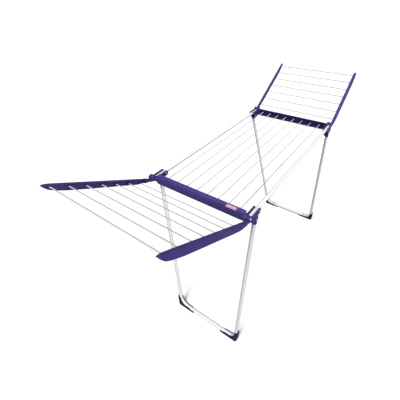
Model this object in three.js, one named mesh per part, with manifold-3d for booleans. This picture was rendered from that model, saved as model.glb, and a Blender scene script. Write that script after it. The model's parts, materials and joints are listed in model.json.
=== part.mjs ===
// A winged clothes airer: a flat deck of drying lines between two rails, a wing of lines hinged at each
// end and two folding U-shaped leg frames. Millimetres, +Z up. X runs along the deck from the near end
// to the far end, +Y is the left side, and the origin is on the floor under the middle of the deck.
import * as THREE from "three";
import { mergeVertices } from "three/addons/utils/BufferGeometryUtils.js";
import Module from "manifold-3d";

const wasm = await Module();
wasm.setup();

// ---- Driving sizes ----------------------------------------------------------------------------------

const DECK_LENGTH = 932; // between the datum lines of the two end bars
const DECK_HEIGHT = 935; // floor to the plane of the deck lines
const RAIL_SPACING = 530; // between the axes of the two rails

const RAIL_RADIUS = 9;
const LEG_RADIUS = 10;
const TUBE_WALL = 1.2;
const LINE_RADIUS = 2.5;
const DECK_LINES = 8;
const WING_LINES = 7;

const TUBE_SIDES = 14;
const ROUND_SIDES = 16;
const PIN_SIDES = 10;
const LINE_SIDES = 8;
const BEND_STEPS = 7;

const GAP = 0.4; // between pieces that touch or run on each other
const PIN_GAP = 0.3; // round a pin in its hole

const BAR_WALL = 2.6;
const BAR_TOP = 23; // the bar's top edge above the deck lines
const BAR_FOOT = 24; // and its foot below them
const BAR_BACK = 8; // the channel's open side, inboard of the datum line
const BAR_CORNER = 7; // rounding of the bar's ends, seen from outside
const BOSS_RADIUS = 5.2; // the sockets that hold the ends of the lines
const BOSS_ROOT = 12; // where the bar's sockets spring from its face, outboard of the datum line
const SOCKET_MOUTH = 2;
const SOCKET_DEPTH = 7;

const CHEEK_GAP = 22; // between a bracket's two cheeks
const INNER_CHEEK = 4;
const OUTER_CHEEK = 5;
const CHEEK_TOP = 12; // above the rail's axis
const CHEEK_TIP = 52; // the cheek's rounded tip, inboard of the bar's datum line
const WEB = 3.6; // the saddle under the rail, and the end wall
const SPIGOT_REACH = 14; // the bracket's spigot into the end bar: along the bar, and above the deck lines
const SPIGOT_TOP = 12;
const SPIGOT_OUT = 6;
const RIVET_RADIUS = 2.6;
const RIVET_HEAD = 5;
const PIN_RADIUS = 3;
const PIN_HEAD = 5.5;
const HEAD_HEIGHT = 2.2;

const WING_ANGLE = THREE.MathUtils.degToRad(31.5); // above the horizontal, on its stop
const WING_PIVOT_OUT = 16; // outboard of the bar's datum line
const WING_PIVOT_UP = 9; // above the deck lines
const WING_LINE_DROP = 28; // from the pivot down to the plane of the wing's lines
const FIRST_WING_LINE = 62; // from the pivot, along the wing
const WING_LINE_PITCH = 61.3;
const TIP_BEYOND_LINE = 25; // the arm's tip beyond the last line
const ARM_WIDTH = 15;
const ARM_WALL = 2.6;
const ARM_LIP = 6; // width of the arm's lower edge, its upper one being the full width
const ARM_ROOT = 36; // the arm is solid this far from the pivot
const LUG_RADIUS = 10;
const EAR_RADIUS = 14;
const EAR_ROOM = 10; // between the bracket's ear and the full width of the arm
const END_WALL = 5; // the bracket's end wall reaches this far outboard of the datum line
const END_WALL_DROP = 8; // and this far below the saddle
const HEEL_DROP = 18; // where the arm's heel meets the end wall, below the pivot
const HEEL_LENGTH = 14;
const HEEL_SLOPE = 3;

const LEG_HINGE_IN = 29; // inboard of the bar's datum line
const LEG_HINGE_DROP = 30; // below the rail's axis
const LEG_EYE = 11;
const LEG_CHEEK_RADIUS = 12;
const STOP_DEPTH = 9; // how far the web that stops the leg reaches below the hinge
const LEG_OFFSET = 7; // the tube's top is this far outside the rail's axis
const LEG_NECK = 17; // from the hinge down the leg to the end of the square part
const COLLAR_END = 23; // and to the end of the round collar, where the tube begins
const COLLAR_RADIUS = 11;
const PLUG_LENGTH = 24; // the knuckle's plug in the tube's bore
const FOOT_OUT = 113; // the floor bar's axis, outboard of the end bar's datum line
const FLOOR_BAR_HEIGHT = 13; // axis of the floor bar, so that the shoe is cut flat on the floor
const FLOOR_BAR_CORNERS = 420; // between the two virtual corners of the U
const BEND_RADIUS = 50;
const SHOE_WALL = 3.2;
const SHOE_UP = 70; // the shoe's reach up the leg and along the floor bar, from the corner
const SHOE_ALONG = 104;
const SHOE_TAPER = 34;
const SHOE_COVER = 6; // how far the shoe's sides rise past the tube's axis
const SHOE_EDGE = 7; // and how near to it its thin ends come

// ---- Sizes that follow ------------------------------------------------------------------------------

const railY = RAIL_SPACING / 2;
const innerCheekY = railY - CHEEK_GAP / 2 - INNER_CHEEK;
const outerCheekY = railY + CHEEK_GAP / 2 + OUTER_CHEEK;
const barEndY = innerCheekY - GAP;
const cheekBottom = RAIL_RADIUS + GAP + WEB;
const socketBottom = SOCKET_MOUTH + SOCKET_DEPTH;
const linePitch = RAIL_SPACING / (DECK_LINES + 1);
const armOuterY = outerCheekY;
const armInnerY = armOuterY - ARM_WIDTH;
const lugOuterY = outerCheekY - OUTER_CHEEK - GAP;
const wingTip = FIRST_WING_LINE + (WING_LINES - 1) * WING_LINE_PITCH + TIP_BEYOND_LINE;
const legDrop = DECK_HEIGHT - LEG_HINGE_DROP - FLOOR_BAR_HEIGHT;
const legRun = LEG_HINGE_IN + FOOT_OUT;
const tubeStart = COLLAR_END + GAP;
const legStopX = LEG_HINGE_IN - LEG_EYE - GAP;
const legReach = Math.hypot(legDrop, legRun);
const legSplay = Math.atan2(legRun, legDrop);
const legY = railY + LEG_OFFSET;
const cornerY = FLOOR_BAR_CORNERS / 2;
const legTaper = Math.atan2(legY - cornerY, legReach);

const PURPLE = new THREE.MeshStandardMaterial({ color: 0x4a4088, roughness: 0.42, metalness: 0 });
const DARK_PURPLE = new THREE.MeshStandardMaterial({ color: 0x241c3e, roughness: 0.5, metalness: 0 });
const WHITE_TUBE = new THREE.MeshStandardMaterial({ color: 0xe9eaec, roughness: 0.3, metalness: 0.1 });
const LINE_WHITE = new THREE.MeshStandardMaterial({ color: 0xe3e3e2, roughness: 0.5, metalness: 0 });
const PIN_STEEL = new THREE.MeshStandardMaterial({ color: 0xcfcfd2, roughness: 0.35, metalness: 0.8 });

// ---- Shape helpers ----------------------------------------------------------------------------------

// A closed geometry as a manifold-3d solid.
function solid(geometry) {
  const bare = geometry.clone();
  bare.deleteAttribute("normal");
  bare.deleteAttribute("uv");
  const merged = mergeVertices(bare, 1e-3);
  return new wasm.Manifold(
    new wasm.Mesh({
      numProp: 3,
      vertProperties: merged.attributes.position.array,
      triVerts: new Uint32Array(merged.index.array),
    }),
  );
}

// A manifold-3d solid as a geometry with flat-shaded normals.
function geometryOf(body) {
  const { vertProperties, triVerts } = body.getMesh();
  const geometry = new THREE.BufferGeometry();
  geometry.setAttribute("position", new THREE.BufferAttribute(vertProperties, 3));
  geometry.setIndex(new THREE.BufferAttribute(triVerts, 1));
  const flat = geometry.toNonIndexed();
  flat.computeVertexNormals();
  return flat;
}

function named(name, body, material) {
  const geometry = body.isBufferGeometry ? body : geometryOf(body);
  const mesh = new THREE.Mesh(geometry, material);
  mesh.name = name;
  return mesh;
}

// A shape drawn in X and Z, extruded from y0 to y1.
function plateXZ(shape, y0, y1, curveSegments = 5) {
  const geometry = new THREE.ExtrudeGeometry(shape, {
    depth: y1 - y0,
    bevelEnabled: false,
    curveSegments,
  });
  return geometry.rotateX(Math.PI / 2).translate(0, y1, 0);
}

// A shape drawn in Y and Z, extruded from x0 to x1.
function plateYZ(shape, x0, x1, curveSegments = 4) {
  const geometry = new THREE.ExtrudeGeometry(shape, {
    depth: x1 - x0,
    bevelEnabled: false,
    curveSegments,
  });
  const turn = new THREE.Matrix4().makeBasis(
    new THREE.Vector3(0, 1, 0),
    new THREE.Vector3(0, 0, 1),
    new THREE.Vector3(1, 0, 0),
  );
  return geometry.applyMatrix4(turn).translate(x0, 0, 0);
}

function block(x0, x1, y0, y1, z0, z1) {
  const geometry = new THREE.BoxGeometry(x1 - x0, y1 - y0, z1 - z0);
  return geometry.translate((x0 + x1) / 2, (y0 + y1) / 2, (z0 + z1) / 2);
}

// A round bar along Y, with its axis at x and z.
function barY(radius, y0, y1, x, z, sides = ROUND_SIDES) {
  const geometry = new THREE.CylinderGeometry(radius, radius, y1 - y0, sides);
  return geometry.translate(x, (y0 + y1) / 2, z);
}

// A round bar along X, with its axis at y and z.
function barX(radius, x0, x1, y, z, sides = ROUND_SIDES) {
  const geometry = new THREE.CylinderGeometry(radius, radius, x1 - x0, sides);
  return geometry.rotateZ(-Math.PI / 2).translate((x0 + x1) / 2, y, z);
}

function shapeOf(points) {
  return new THREE.Shape(points.map(([x, z]) => new THREE.Vector2(x, z)));
}

// A smooth run of points through a few chosen ones.
function smooth(points, divisions) {
  const curve = new THREE.SplineCurve(points.map(([x, z]) => new THREE.Vector2(x, z)));
  return curve.getPoints(divisions).map((p) => [p.x, p.y]);
}

// An open or closed run of points moved sideways, to its right by the given distance.
function beside(points, distance, closed = false) {
  const last = points.length - 1;
  return points.map(([x, z], i) => {
    const before = points[i > 0 ? i - 1 : closed ? last : 0];
    const after = points[i < last ? i + 1 : closed ? 0 : last];
    const along = new THREE.Vector2(after[0] - before[0], after[1] - before[1]).normalize();
    return [x + along.y * distance, z - along.x * distance];
  });
}

// A closed run of points moved inwards all round, without the points that the move folds over.
function inset(points, distance) {
  const moved = beside(points, distance, true);
  return moved.filter(([x, z], i) => {
    const [nextX, nextZ] = moved[(i + 1) % moved.length];
    const [fromX, fromZ] = points[i];
    const [toX, toZ] = points[(i + 1) % points.length];
    return (nextX - x) * (toX - fromX) + (nextZ - z) * (toZ - fromZ) > 0;
  });
}

// A path through given stations, which an extrusion follows station by station.
class StationPath extends THREE.Curve {
  constructor(stations) {
    super();
    this.stations = stations;
  }

  getPoint(t) {
    const place = t * (this.stations.length - 1);
    const index = Math.min(Math.floor(place), this.stations.length - 2);
    return new THREE.Vector3().lerpVectors(
      this.stations[index],
      this.stations[index + 1],
      place - index,
    );
  }

  getUtoTmapping(u) {
    return u;
  }
}

// A round tube or, with no bore, a round bar that follows the stations.
function sweep(stations, radius, bore = 0) {
  const section = new THREE.Shape();
  section.absarc(0, 0, radius, 0, 2 * Math.PI);
  if (bore > 0) {
    const hole = new THREE.Path();
    hole.absarc(0, 0, bore, 0, 2 * Math.PI, true);
    section.holes.push(hole);
  }
  return new THREE.ExtrudeGeometry(section, {
    steps: stations.length - 1,
    extrudePath: new StationPath(stations),
    curveSegments: TUBE_SIDES / 2,
  });
}

// A pin along Y through a bracket, with a round head outside and, unless it ends in the bracket, inside.
function headedPin(radius, headRadius, x, z, innerHead) {
  const low = innerCheekY - GAP;
  const high = outerCheekY + GAP;
  const start = innerHead ? low - HEAD_HEIGHT / 2 : innerCheekY + GAP;
  const shank = solid(barY(radius, start, high + HEAD_HEIGHT / 2, x, z, PIN_SIDES));
  const headed = shank.add(solid(barY(headRadius, high, high + HEAD_HEIGHT, x, z, PIN_SIDES)));
  if (!innerHead) return headed;
  return headed.add(solid(barY(headRadius, low - HEAD_HEIGHT, low, x, z, PIN_SIDES)));
}

// ---- Deck -------------------------------------------------------------------------------------------

// Round tube with an open bore and a cross hole near each end for the bracket rivet.
function deckRail(side) {
  const end = DECK_LENGTH / 2 - GAP;
  const y = side * railY;
  const bore = RAIL_RADIUS - TUBE_WALL;
  const rivetX = DECK_LENGTH / 2 - CHEEK_TIP;
  const holeRadius = RIVET_RADIUS + PIN_GAP;
  const reach = 2 * RAIL_RADIUS;
  return solid(barX(RAIL_RADIUS, -end, end, y, DECK_HEIGHT, TUBE_SIDES))
    .subtract(solid(barX(bore, -end - 1, end + 1, y, DECK_HEIGHT, TUBE_SIDES)))
    .subtract(solid(barY(holeRadius, y - reach, y + reach, rivetX, DECK_HEIGHT, LINE_SIDES)))
    .subtract(solid(barY(holeRadius, y - reach, y + reach, -rivetX, DECK_HEIGHT, LINE_SIDES)));
}

function deckLine(index) {
  const end = DECK_LENGTH / 2 + socketBottom - GAP;
  const y = lineY(index);
  return barX(LINE_RADIUS, -end, end, y, DECK_HEIGHT, LINE_SIDES);
}

function lineY(index) {
  return -railY + (index + 1) * linePitch;
}

// The end bar's outer face in section, from the foot of the face up and over its top edge.
const barFace = smooth(
  [
    [-11.5, -BAR_FOOT],
    [-14, -14],
    [-13.6, -3],
    [-11, 9],
    [-5, 18.5],
    [BAR_BACK, BAR_TOP],
  ],
  9,
);

// Channel section, open on the inboard side, with a socket for each deck line.
function endBar() {
  const inner = beside(barFace, BAR_WALL).reverse();
  const innerFoot = BAR_WALL - BAR_FOOT;
  const channel = shapeOf([
    [BAR_BACK, -BAR_FOOT],
    ...barFace,
    ...inner.slice(0, -1),
    [inner.at(-1)[0], innerFoot],
    [BAR_BACK, innerFoot],
  ]);
  const round = new THREE.Shape();
  round.moveTo(-barEndY, -BAR_FOOT - 1);
  round.lineTo(barEndY, -BAR_FOOT - 1);
  round.lineTo(barEndY, BAR_TOP - BAR_CORNER);
  round.absarc(barEndY - BAR_CORNER, BAR_TOP - BAR_CORNER, BAR_CORNER, 0, Math.PI / 2);
  round.lineTo(BAR_CORNER - barEndY, BAR_TOP);
  round.absarc(BAR_CORNER - barEndY, BAR_TOP - BAR_CORNER, BAR_CORNER, Math.PI / 2, Math.PI);
  const rounded = solid(plateYZ(round, -2 * BAR_TOP, 2 * BAR_TOP));
  let bar = solid(plateXZ(channel, -barEndY, barEndY)).intersect(rounded);
  for (let i = 0; i < DECK_LINES; i += 1)
    bar = bar.add(solid(barX(BOSS_RADIUS, -BOSS_ROOT, -SOCKET_MOUTH, lineY(i), 0, PIN_SIDES)));
  const bore = LINE_RADIUS + PIN_GAP;
  for (let i = 0; i < DECK_LINES; i += 1)
    bar = bar.subtract(solid(barX(bore, -socketBottom, 1 - SOCKET_MOUTH, lineY(i), 0, LINE_SIDES)));
  return bar;
}

// The outline that both cheeks of a bracket share: an ear round the wing's pivot, a rounded tip
// inboard along the rail and a lobe round the leg's hinge.
function cheekShape() {
  const shape = new THREE.Shape();
  const tipRadius = (CHEEK_TOP + cheekBottom) / 2;
  const tipZ = CHEEK_TOP - tipRadius;
  const earEnd = Math.asin((CHEEK_TOP - WING_PIVOT_UP) / EAR_RADIUS);
  shape.moveTo(CHEEK_TIP, CHEEK_TOP);
  shape.absarc(CHEEK_TIP, tipZ, tipRadius, Math.PI / 2, -Math.PI / 2, true);
  shape.lineTo(LEG_HINGE_IN + LEG_CHEEK_RADIUS, -cheekBottom);
  shape.absarc(LEG_HINGE_IN, -LEG_HINGE_DROP, LEG_CHEEK_RADIUS, 0.2, -Math.PI * 0.8, true);
  shape.lineTo(-END_WALL, -cheekBottom - END_WALL_DROP - 1);
  shape.absarc(-WING_PIVOT_OUT, WING_PIVOT_UP, EAR_RADIUS, -Math.PI / 3, earEnd - 2 * Math.PI, true);
  return shape;
}

// Corner bracket of the left side: two cheeks that hold the rail between them, the saddle under the
// rail, an end wall that the wing stops on, a web that the leg stops on and a spigot into the end bar.
function bracket() {
  const webLow = -LEG_HINGE_DROP - STOP_DEPTH;
  const wallLow = -cheekBottom - END_WALL_DROP;
  const wallTop = RAIL_RADIUS + 1;
  const low = innerCheekY + 1;
  const high = outerCheekY - 1;
  const spigotLow = BAR_WALL + GAP - BAR_FOOT;
  const pieces = [
    plateXZ(cheekShape(), innerCheekY, innerCheekY + INNER_CHEEK),
    plateXZ(cheekShape(), outerCheekY - OUTER_CHEEK, outerCheekY),
    block(-END_WALL, CHEEK_TIP + CHEEK_TOP / 2, low, high, -cheekBottom, -cheekBottom + WEB),
    block(-END_WALL, -GAP, low, high, wallLow, wallTop),
    block(legStopX - WEB, legStopX, low, high, webLow, -cheekBottom + 1),
    barY(EAR_RADIUS, innerCheekY, armInnerY - GAP, -WING_PIVOT_OUT, WING_PIVOT_UP),
    block(-SPIGOT_OUT, BAR_BACK - 2, barEndY - SPIGOT_REACH, low, spigotLow, SPIGOT_TOP),
  ];
  const holes = [
    barY(PIN_RADIUS + PIN_GAP, 0, 2 * railY, -WING_PIVOT_OUT, WING_PIVOT_UP, PIN_SIDES),
    barY(PIN_RADIUS + PIN_GAP, 0, 2 * railY, LEG_HINGE_IN, -LEG_HINGE_DROP, PIN_SIDES),
    barY(RIVET_RADIUS + PIN_GAP, 0, 2 * railY, CHEEK_TIP, 0, PIN_SIDES),
  ];
  const joined = pieces.map(solid).reduce((all, piece) => all.add(piece));
  return holes.map(solid).reduce((all, hole) => all.subtract(hole), joined);
}

// ---- Wing -------------------------------------------------------------------------------------------

// A place given in the bracket's X and Z, as distances along the wing and square to it from the pivot.
function inWing(x, z) {
  const dx = x + WING_PIVOT_OUT;
  const dz = z - WING_PIVOT_UP;
  return [
    -dx * Math.cos(WING_ANGLE) + dz * Math.sin(WING_ANGLE),
    dx * Math.sin(WING_ANGLE) + dz * Math.cos(WING_ANGLE),
  ];
}

// The arm seen from the side, as distances from the pivot: boat-shaped, with a blunt raised tip and a
// lower edge that climbs to the hinge, where a heel meets the bracket's end wall.
function armOutline() {
  const plane = -WING_LINE_DROP;
  const upper = smooth(
    [
      [6, 5 - LUG_RADIUS],
      [ARM_ROOT - 2, 1.5 - LUG_RADIUS],
      [wingTip * 0.5, plane + 14],
      [wingTip - 85, plane + 10.7],
      [wingTip - 31, plane + 9.5],
      [wingTip - 13, plane + 8],
      [wingTip - 4, plane + 5.5],
      [wingTip, plane + 3],
    ],
    16,
  );
  const lower = smooth(
    [
      [wingTip - 2, plane],
      [wingTip - 11, plane - 5.5],
      [wingTip - 23, plane - 11.5],
      [wingTip - 41, plane - 15],
      [wingTip - 71, plane - 17],
      [wingTip - 111, plane - 17.3],
      [wingTip * 0.5, plane - 13.5],
      [FIRST_WING_LINE + 26, plane - 8.5],
      [FIRST_WING_LINE - 10, plane - 4.5],
      [24, plane + 5],
    ],
    18,
  );
  const wallX = -END_WALL - GAP;
  const heelZ = WING_PIVOT_UP - HEEL_DROP;
  return [
    ...upper,
    ...lower,
    inWing(wallX - HEEL_LENGTH, heelZ - HEEL_SLOPE),
    inWing(wallX, heelZ),
    inWing(wallX, WING_PIVOT_UP),
  ];
}

// Wing arm of the left side, at its place in the wing: local X runs back towards the deck. A flange
// along its top edge and a narrow lip along its lower one stand in from the outer wall.
function wingArm() {
  const toShape = (points) => shapeOf(points.map(([along, up]) => [-along, up]));
  const outline = armOutline();
  const inside = toShape(inset(outline, ARM_WALL));
  const root = solid(block(-ARM_ROOT, wingTip, 0, 2 * railY, -wingTip, wingTip));
  const pocket = solid(plateXZ(inside, armInnerY - 1, armOuterY - ARM_WALL));
  const belowLip = solid(
    plateXZ(inside, armInnerY - 1, armOuterY - ARM_LIP).translate(0, 0, -2 * ARM_WALL),
  );
  const earRoom = solid(barY(EAR_RADIUS + EAR_ROOM, lugOuterY, armOuterY + 1, 0, 0));
  const socketMouth = armOuterY - ARM_WALL - SOCKET_DEPTH;
  const socket = (radius, from, to, i) =>
    solid(barY(radius, from, to, -wingLineAt(i), -WING_LINE_DROP, LINE_SIDES));
  let arm = solid(plateXZ(toShape(outline), armInnerY, armOuterY))
    .add(solid(barY(LUG_RADIUS, armInnerY, lugOuterY, 0, 0)))
    .subtract(pocket.add(belowLip).subtract(root))
    .subtract(earRoom);
  for (let i = 0; i < WING_LINES; i += 1)
    arm = arm.add(socket(BOSS_RADIUS, socketMouth, armOuterY - 1, i));
  for (let i = 0; i < WING_LINES; i += 1)
    arm = arm.subtract(socket(LINE_RADIUS + PIN_GAP, armInnerY, armOuterY - ARM_WALL, i));
  return arm.subtract(solid(barY(PIN_RADIUS + PIN_GAP, 0, 2 * railY, 0, 0, PIN_SIDES)));
}

function wingLineAt(index) {
  return FIRST_WING_LINE + index * WING_LINE_PITCH;
}

function wingLine(index) {
  const end = armOuterY - ARM_WALL - GAP;
  return barY(LINE_RADIUS, -end, end, -wingLineAt(index), -WING_LINE_DROP, LINE_SIDES);
}

// ---- Leg frame --------------------------------------------------------------------------------------

// The leg frame lies in local Y and Z, with the hinge axis on local Y: the tube's centre line from the
// top of the right leg round both bends to the top of the left one.
function legStations() {
  const half = (Math.PI / 2 - legTaper) / 2;
  const setBack = BEND_RADIUS * Math.tan(half);
  const corner = new THREE.Vector2(cornerY, -legReach);
  const up = new THREE.Vector2(Math.sin(legTaper), Math.cos(legTaper));
  const centre = new THREE.Vector2(corner.x - setBack, corner.y + BEND_RADIUS);
  const left = [];
  for (let i = 0; i <= BEND_STEPS; i += 1) {
    const angle = -Math.PI / 2 + (i / BEND_STEPS) * 2 * half;
    left.push([centre.x + BEND_RADIUS * Math.cos(angle), centre.y + BEND_RADIUS * Math.sin(angle)]);
  }
  const top = up.clone().multiplyScalar(legReach / Math.cos(legTaper) - tubeStart).add(corner);
  left.push([top.x, top.y]);
  const right = left.map(([y, z]) => [-y, z]).reverse();
  return [...right, ...left].map(([y, z]) => new THREE.Vector3(0, y, z));
}

// Knuckle on the top of the left leg: an eye between the bracket's cheeks, with a heel that stands
// against the bracket's web, a collar for the tube's end and a plug that is pressed into its bore.
function legKnuckle(web) {
  const half = CHEEK_GAP / 2 - GAP;
  const down = new THREE.Matrix4()
    .makeTranslation(0, legY, 0)
    .multiply(new THREE.Matrix4().makeRotationX(-legTaper));
  const round = (radius, from, to) =>
    solid(
      new THREE.CylinderGeometry(radius, radius, to - from, ROUND_SIDES)
        .rotateX(Math.PI / 2)
        .translate(0, 0, -(from + to) / 2)
        .applyMatrix4(down),
    );
  const eye = solid(barY(LEG_EYE, railY - half, railY + half, 0, 0));
  const neck = solid(block(-LEG_EYE, LEG_EYE - 1, railY - half, railY + half, -LEG_NECK, 0));
  const collar = round(COLLAR_RADIUS, LEG_NECK - 2, COLLAR_END);
  const plug = round(LEG_RADIUS - TUBE_WALL - PIN_GAP, LEG_NECK, COLLAR_END + PLUG_LENGTH);
  const pinHole = solid(barY(PIN_RADIUS + PIN_GAP, 0, 2 * railY, 0, 0, PIN_SIDES));
  return eye.add(neck).add(collar).add(plug).subtract(pinHole).subtract(web);
}

// Corner shoe of the left side: a trough that cups the outside of the bend, squared off at the corner
// and cut flat where it stands on the floor.
function footShoe(floor) {
  const out = LEG_RADIUS + SHOE_WALL;
  const up = new THREE.Vector2(Math.sin(legTaper), Math.cos(legTaper));
  const side = new THREE.Vector2(Math.cos(legTaper), -Math.sin(legTaper));
  const corner = new THREE.Vector2(cornerY, -legReach);
  const onLeg = (along, offset) =>
    corner.clone().addScaledVector(up, along).addScaledVector(side, offset);
  const onBar = (along, offset) => new THREE.Vector2(corner.x - along, corner.y - offset);
  const setBack = BEND_RADIUS * Math.tan((Math.PI / 2 - legTaper) / 2);
  const centre = new THREE.Vector2(corner.x - setBack, corner.y + BEND_RADIUS);
  const shape = new THREE.Shape();
  const move = (name, p, ...rest) => shape[name](p.x, p.y, ...rest);
  const outerCorner = new THREE.Vector2(
    cornerY + (out - out * Math.sin(legTaper)) / Math.cos(legTaper),
    -legReach - out,
  );
  move("moveTo", onLeg(SHOE_UP, SHOE_EDGE));
  move("lineTo", onLeg(SHOE_UP, out));
  move("lineTo", onLeg(0, out));
  shape.quadraticCurveTo(outerCorner.x, outerCorner.y, onBar(0, out).x, onBar(0, out).y);
  move("lineTo", onBar(SHOE_ALONG, out));
  move("lineTo", onBar(SHOE_ALONG, SHOE_EDGE));
  move("lineTo", onBar(Math.max(SHOE_ALONG - SHOE_TAPER, setBack), -SHOE_COVER));
  const inner = BEND_RADIUS - SHOE_COVER;
  shape.absarc(centre.x, centre.y, inner, -Math.PI / 2, -legTaper, false);
  move("lineTo", onLeg(Math.max(SHOE_UP - SHOE_TAPER / 2, setBack), -SHOE_COVER));
  const trough = solid(plateYZ(shape, -out, out));
  const bore = solid(sweep(legStations(), LEG_RADIUS + PIN_GAP));
  return trough.subtract(bore).subtract(floor);
}

// ---- Assembly ---------------------------------------------------------------------------------------

// The mirror image of a left-side mesh.
function mirrored(mesh) {
  mesh.scale.y = -1;
  return mesh;
}

// Both sides of a piece, made once and named for the side that it is on in the finished airer.
function bothSides(group, end, name, body, material) {
  const [plus, minus] = end === "near" ? ["left", "right"] : ["right", "left"];
  const geometry = body.isBufferGeometry ? body : geometryOf(body);
  group.add(named(`${end}_${plus}_${name}`, geometry, material));
  group.add(mirrored(named(`${end}_${minus}_${name}`, geometry, material)));
}

function wing(end) {
  const group = new THREE.Group();
  group.position.set(-WING_PIVOT_OUT, 0, DECK_HEIGHT + WING_PIVOT_UP);
  group.rotation.y = WING_ANGLE;
  bothSides(group, end, "wing_arm", wingArm(), PURPLE);
  for (let i = 0; i < WING_LINES; i += 1)
    group.add(named(`${end}_wing_line_${i + 1}`, wingLine(i), LINE_WHITE));
  return group;
}

function legs(end) {
  const group = new THREE.Group();
  group.position.set(LEG_HINGE_IN, 0, DECK_HEIGHT - LEG_HINGE_DROP);
  group.rotation.y = legSplay;
  group.updateMatrix();
  const toLeg = group.matrix.clone().invert();
  const floor = solid(block(-legDrop, legDrop, -legY, legY, -legDrop, 0).applyMatrix4(toLeg));
  const webLow = DECK_HEIGHT - LEG_HINGE_DROP - STOP_DEPTH - GAP;
  const web = solid(
    block(0, legStopX + GAP, 0, 2 * railY, webLow, DECK_HEIGHT).applyMatrix4(toLeg),
  );
  const tube = sweep(legStations(), LEG_RADIUS, LEG_RADIUS - TUBE_WALL);
  group.add(named(`${end}_leg_frame`, tube, WHITE_TUBE));
  bothSides(group, end, "leg_knuckle", legKnuckle(web), PURPLE);
  bothSides(group, end, "foot_shoe", footShoe(floor), DARK_PURPLE);
  return group;
}

// Everything at one end of the deck, with the end bar's datum line at local X zero.
function endAssembly(end) {
  const group = new THREE.Group();
  const deck = new THREE.Group();
  deck.position.z = DECK_HEIGHT;
  deck.add(named(`${end}_end_bar`, endBar(), PURPLE));
  bothSides(deck, end, "bracket", bracket(), PURPLE);
  const rivet = headedPin(RIVET_RADIUS, RIVET_HEAD, CHEEK_TIP, 0, true);
  bothSides(deck, end, "rail_rivet", rivet, PIN_STEEL);
  const wingPin = headedPin(PIN_RADIUS, PIN_HEAD, -WING_PIVOT_OUT, WING_PIVOT_UP, false);
  bothSides(deck, end, "wing_pin", wingPin, PIN_STEEL);
  const legPin = headedPin(PIN_RADIUS, PIN_HEAD, LEG_HINGE_IN, -LEG_HINGE_DROP, true);
  bothSides(deck, end, "leg_pin", legPin, PIN_STEEL);
  group.add(deck, wing(end), legs(end));
  return group;
}

const airer = new THREE.Group();
airer.add(named("left_deck_rail", deckRail(1), WHITE_TUBE));
airer.add(named("right_deck_rail", deckRail(-1), WHITE_TUBE));
for (let i = 0; i < DECK_LINES; i += 1)
  airer.add(named(`deck_line_${i + 1}`, deckLine(i), LINE_WHITE));

const nearEnd = endAssembly("near");
nearEnd.position.x = -DECK_LENGTH / 2;
const farEnd = endAssembly("far");
farEnd.position.x = DECK_LENGTH / 2;
farEnd.rotation.z = Math.PI;
airer.add(nearEnd, farEnd);

export default airer;
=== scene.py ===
"""Looks of the winged clothes airer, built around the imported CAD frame.

Each CAD node is stood for by a finer piece in the same place: the sizes are the CAD's own, in
millimetres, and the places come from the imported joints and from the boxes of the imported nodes.
"""

import json
import math

import bmesh
import bpy
from mathutils import Matrix, Vector


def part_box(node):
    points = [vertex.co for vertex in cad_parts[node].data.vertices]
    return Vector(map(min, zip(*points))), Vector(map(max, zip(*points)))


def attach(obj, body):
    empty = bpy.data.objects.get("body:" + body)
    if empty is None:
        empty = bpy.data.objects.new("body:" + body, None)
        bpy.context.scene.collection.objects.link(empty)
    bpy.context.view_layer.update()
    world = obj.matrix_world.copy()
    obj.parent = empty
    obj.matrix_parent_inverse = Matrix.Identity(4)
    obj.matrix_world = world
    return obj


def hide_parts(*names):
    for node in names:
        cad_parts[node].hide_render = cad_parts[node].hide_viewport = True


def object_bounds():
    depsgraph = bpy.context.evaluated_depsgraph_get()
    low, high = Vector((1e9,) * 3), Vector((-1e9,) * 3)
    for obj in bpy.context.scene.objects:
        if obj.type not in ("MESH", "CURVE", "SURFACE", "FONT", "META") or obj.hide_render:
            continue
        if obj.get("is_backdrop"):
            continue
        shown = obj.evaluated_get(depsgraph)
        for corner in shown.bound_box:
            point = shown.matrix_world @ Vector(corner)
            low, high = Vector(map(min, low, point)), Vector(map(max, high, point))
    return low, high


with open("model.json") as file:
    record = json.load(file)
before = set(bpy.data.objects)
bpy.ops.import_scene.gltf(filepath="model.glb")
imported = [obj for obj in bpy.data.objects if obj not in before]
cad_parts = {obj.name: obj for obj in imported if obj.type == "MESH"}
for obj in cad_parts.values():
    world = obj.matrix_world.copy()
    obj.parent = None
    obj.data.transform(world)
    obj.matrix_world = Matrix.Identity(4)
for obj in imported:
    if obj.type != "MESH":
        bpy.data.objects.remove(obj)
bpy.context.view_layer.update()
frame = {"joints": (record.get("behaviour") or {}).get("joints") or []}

MM = 0.001

# ---- Sizes, in millimetres ---------------------------------------------------------------------------

RAIL_RADIUS = 9
LEG_RADIUS = 10
TUBE_WALL = 1.2
LINE_RADIUS = 2.5
END_CHAMFER = 0.5
GAP = 0.4
PIN_GAP = 0.3
DECK_LINES = 8
BAR_WALL = 2.6
BAR_TOP = 23
BAR_FOOT = 24
BAR_BACK = 8
BAR_CORNER = 7
BOSS_RADIUS = 5.2
BOSS_ROOT = 12
SOCKET_MOUTH = 2
SOCKET_DEPTH = 7
CHEEK_GAP = 22
INNER_CHEEK = 4
OUTER_CHEEK = 5
CHEEK_TOP = 12
CHEEK_TIP = 52
WEB = 3.6
SPIGOT_REACH = 14
SPIGOT_TOP = 12
SPIGOT_OUT = 6
RIVET_RADIUS = 2.6
RIVET_HEAD = 5
PIN_RADIUS = 3
PIN_HEAD = 5.5
HEAD_HEIGHT = 2.2
WING_PIVOT_OUT = 16
WING_PIVOT_UP = 9
WING_LINE_DROP = 28
FIRST_WING_LINE = 62
WING_LINE_PITCH = 61.3
WING_LINES = 7
TIP_BEYOND_LINE = 25
ARM_WIDTH = 15
ARM_WALL = 2.6
ARM_LIP = 6
ARM_ROOT = 36
LUG_RADIUS = 10
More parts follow.
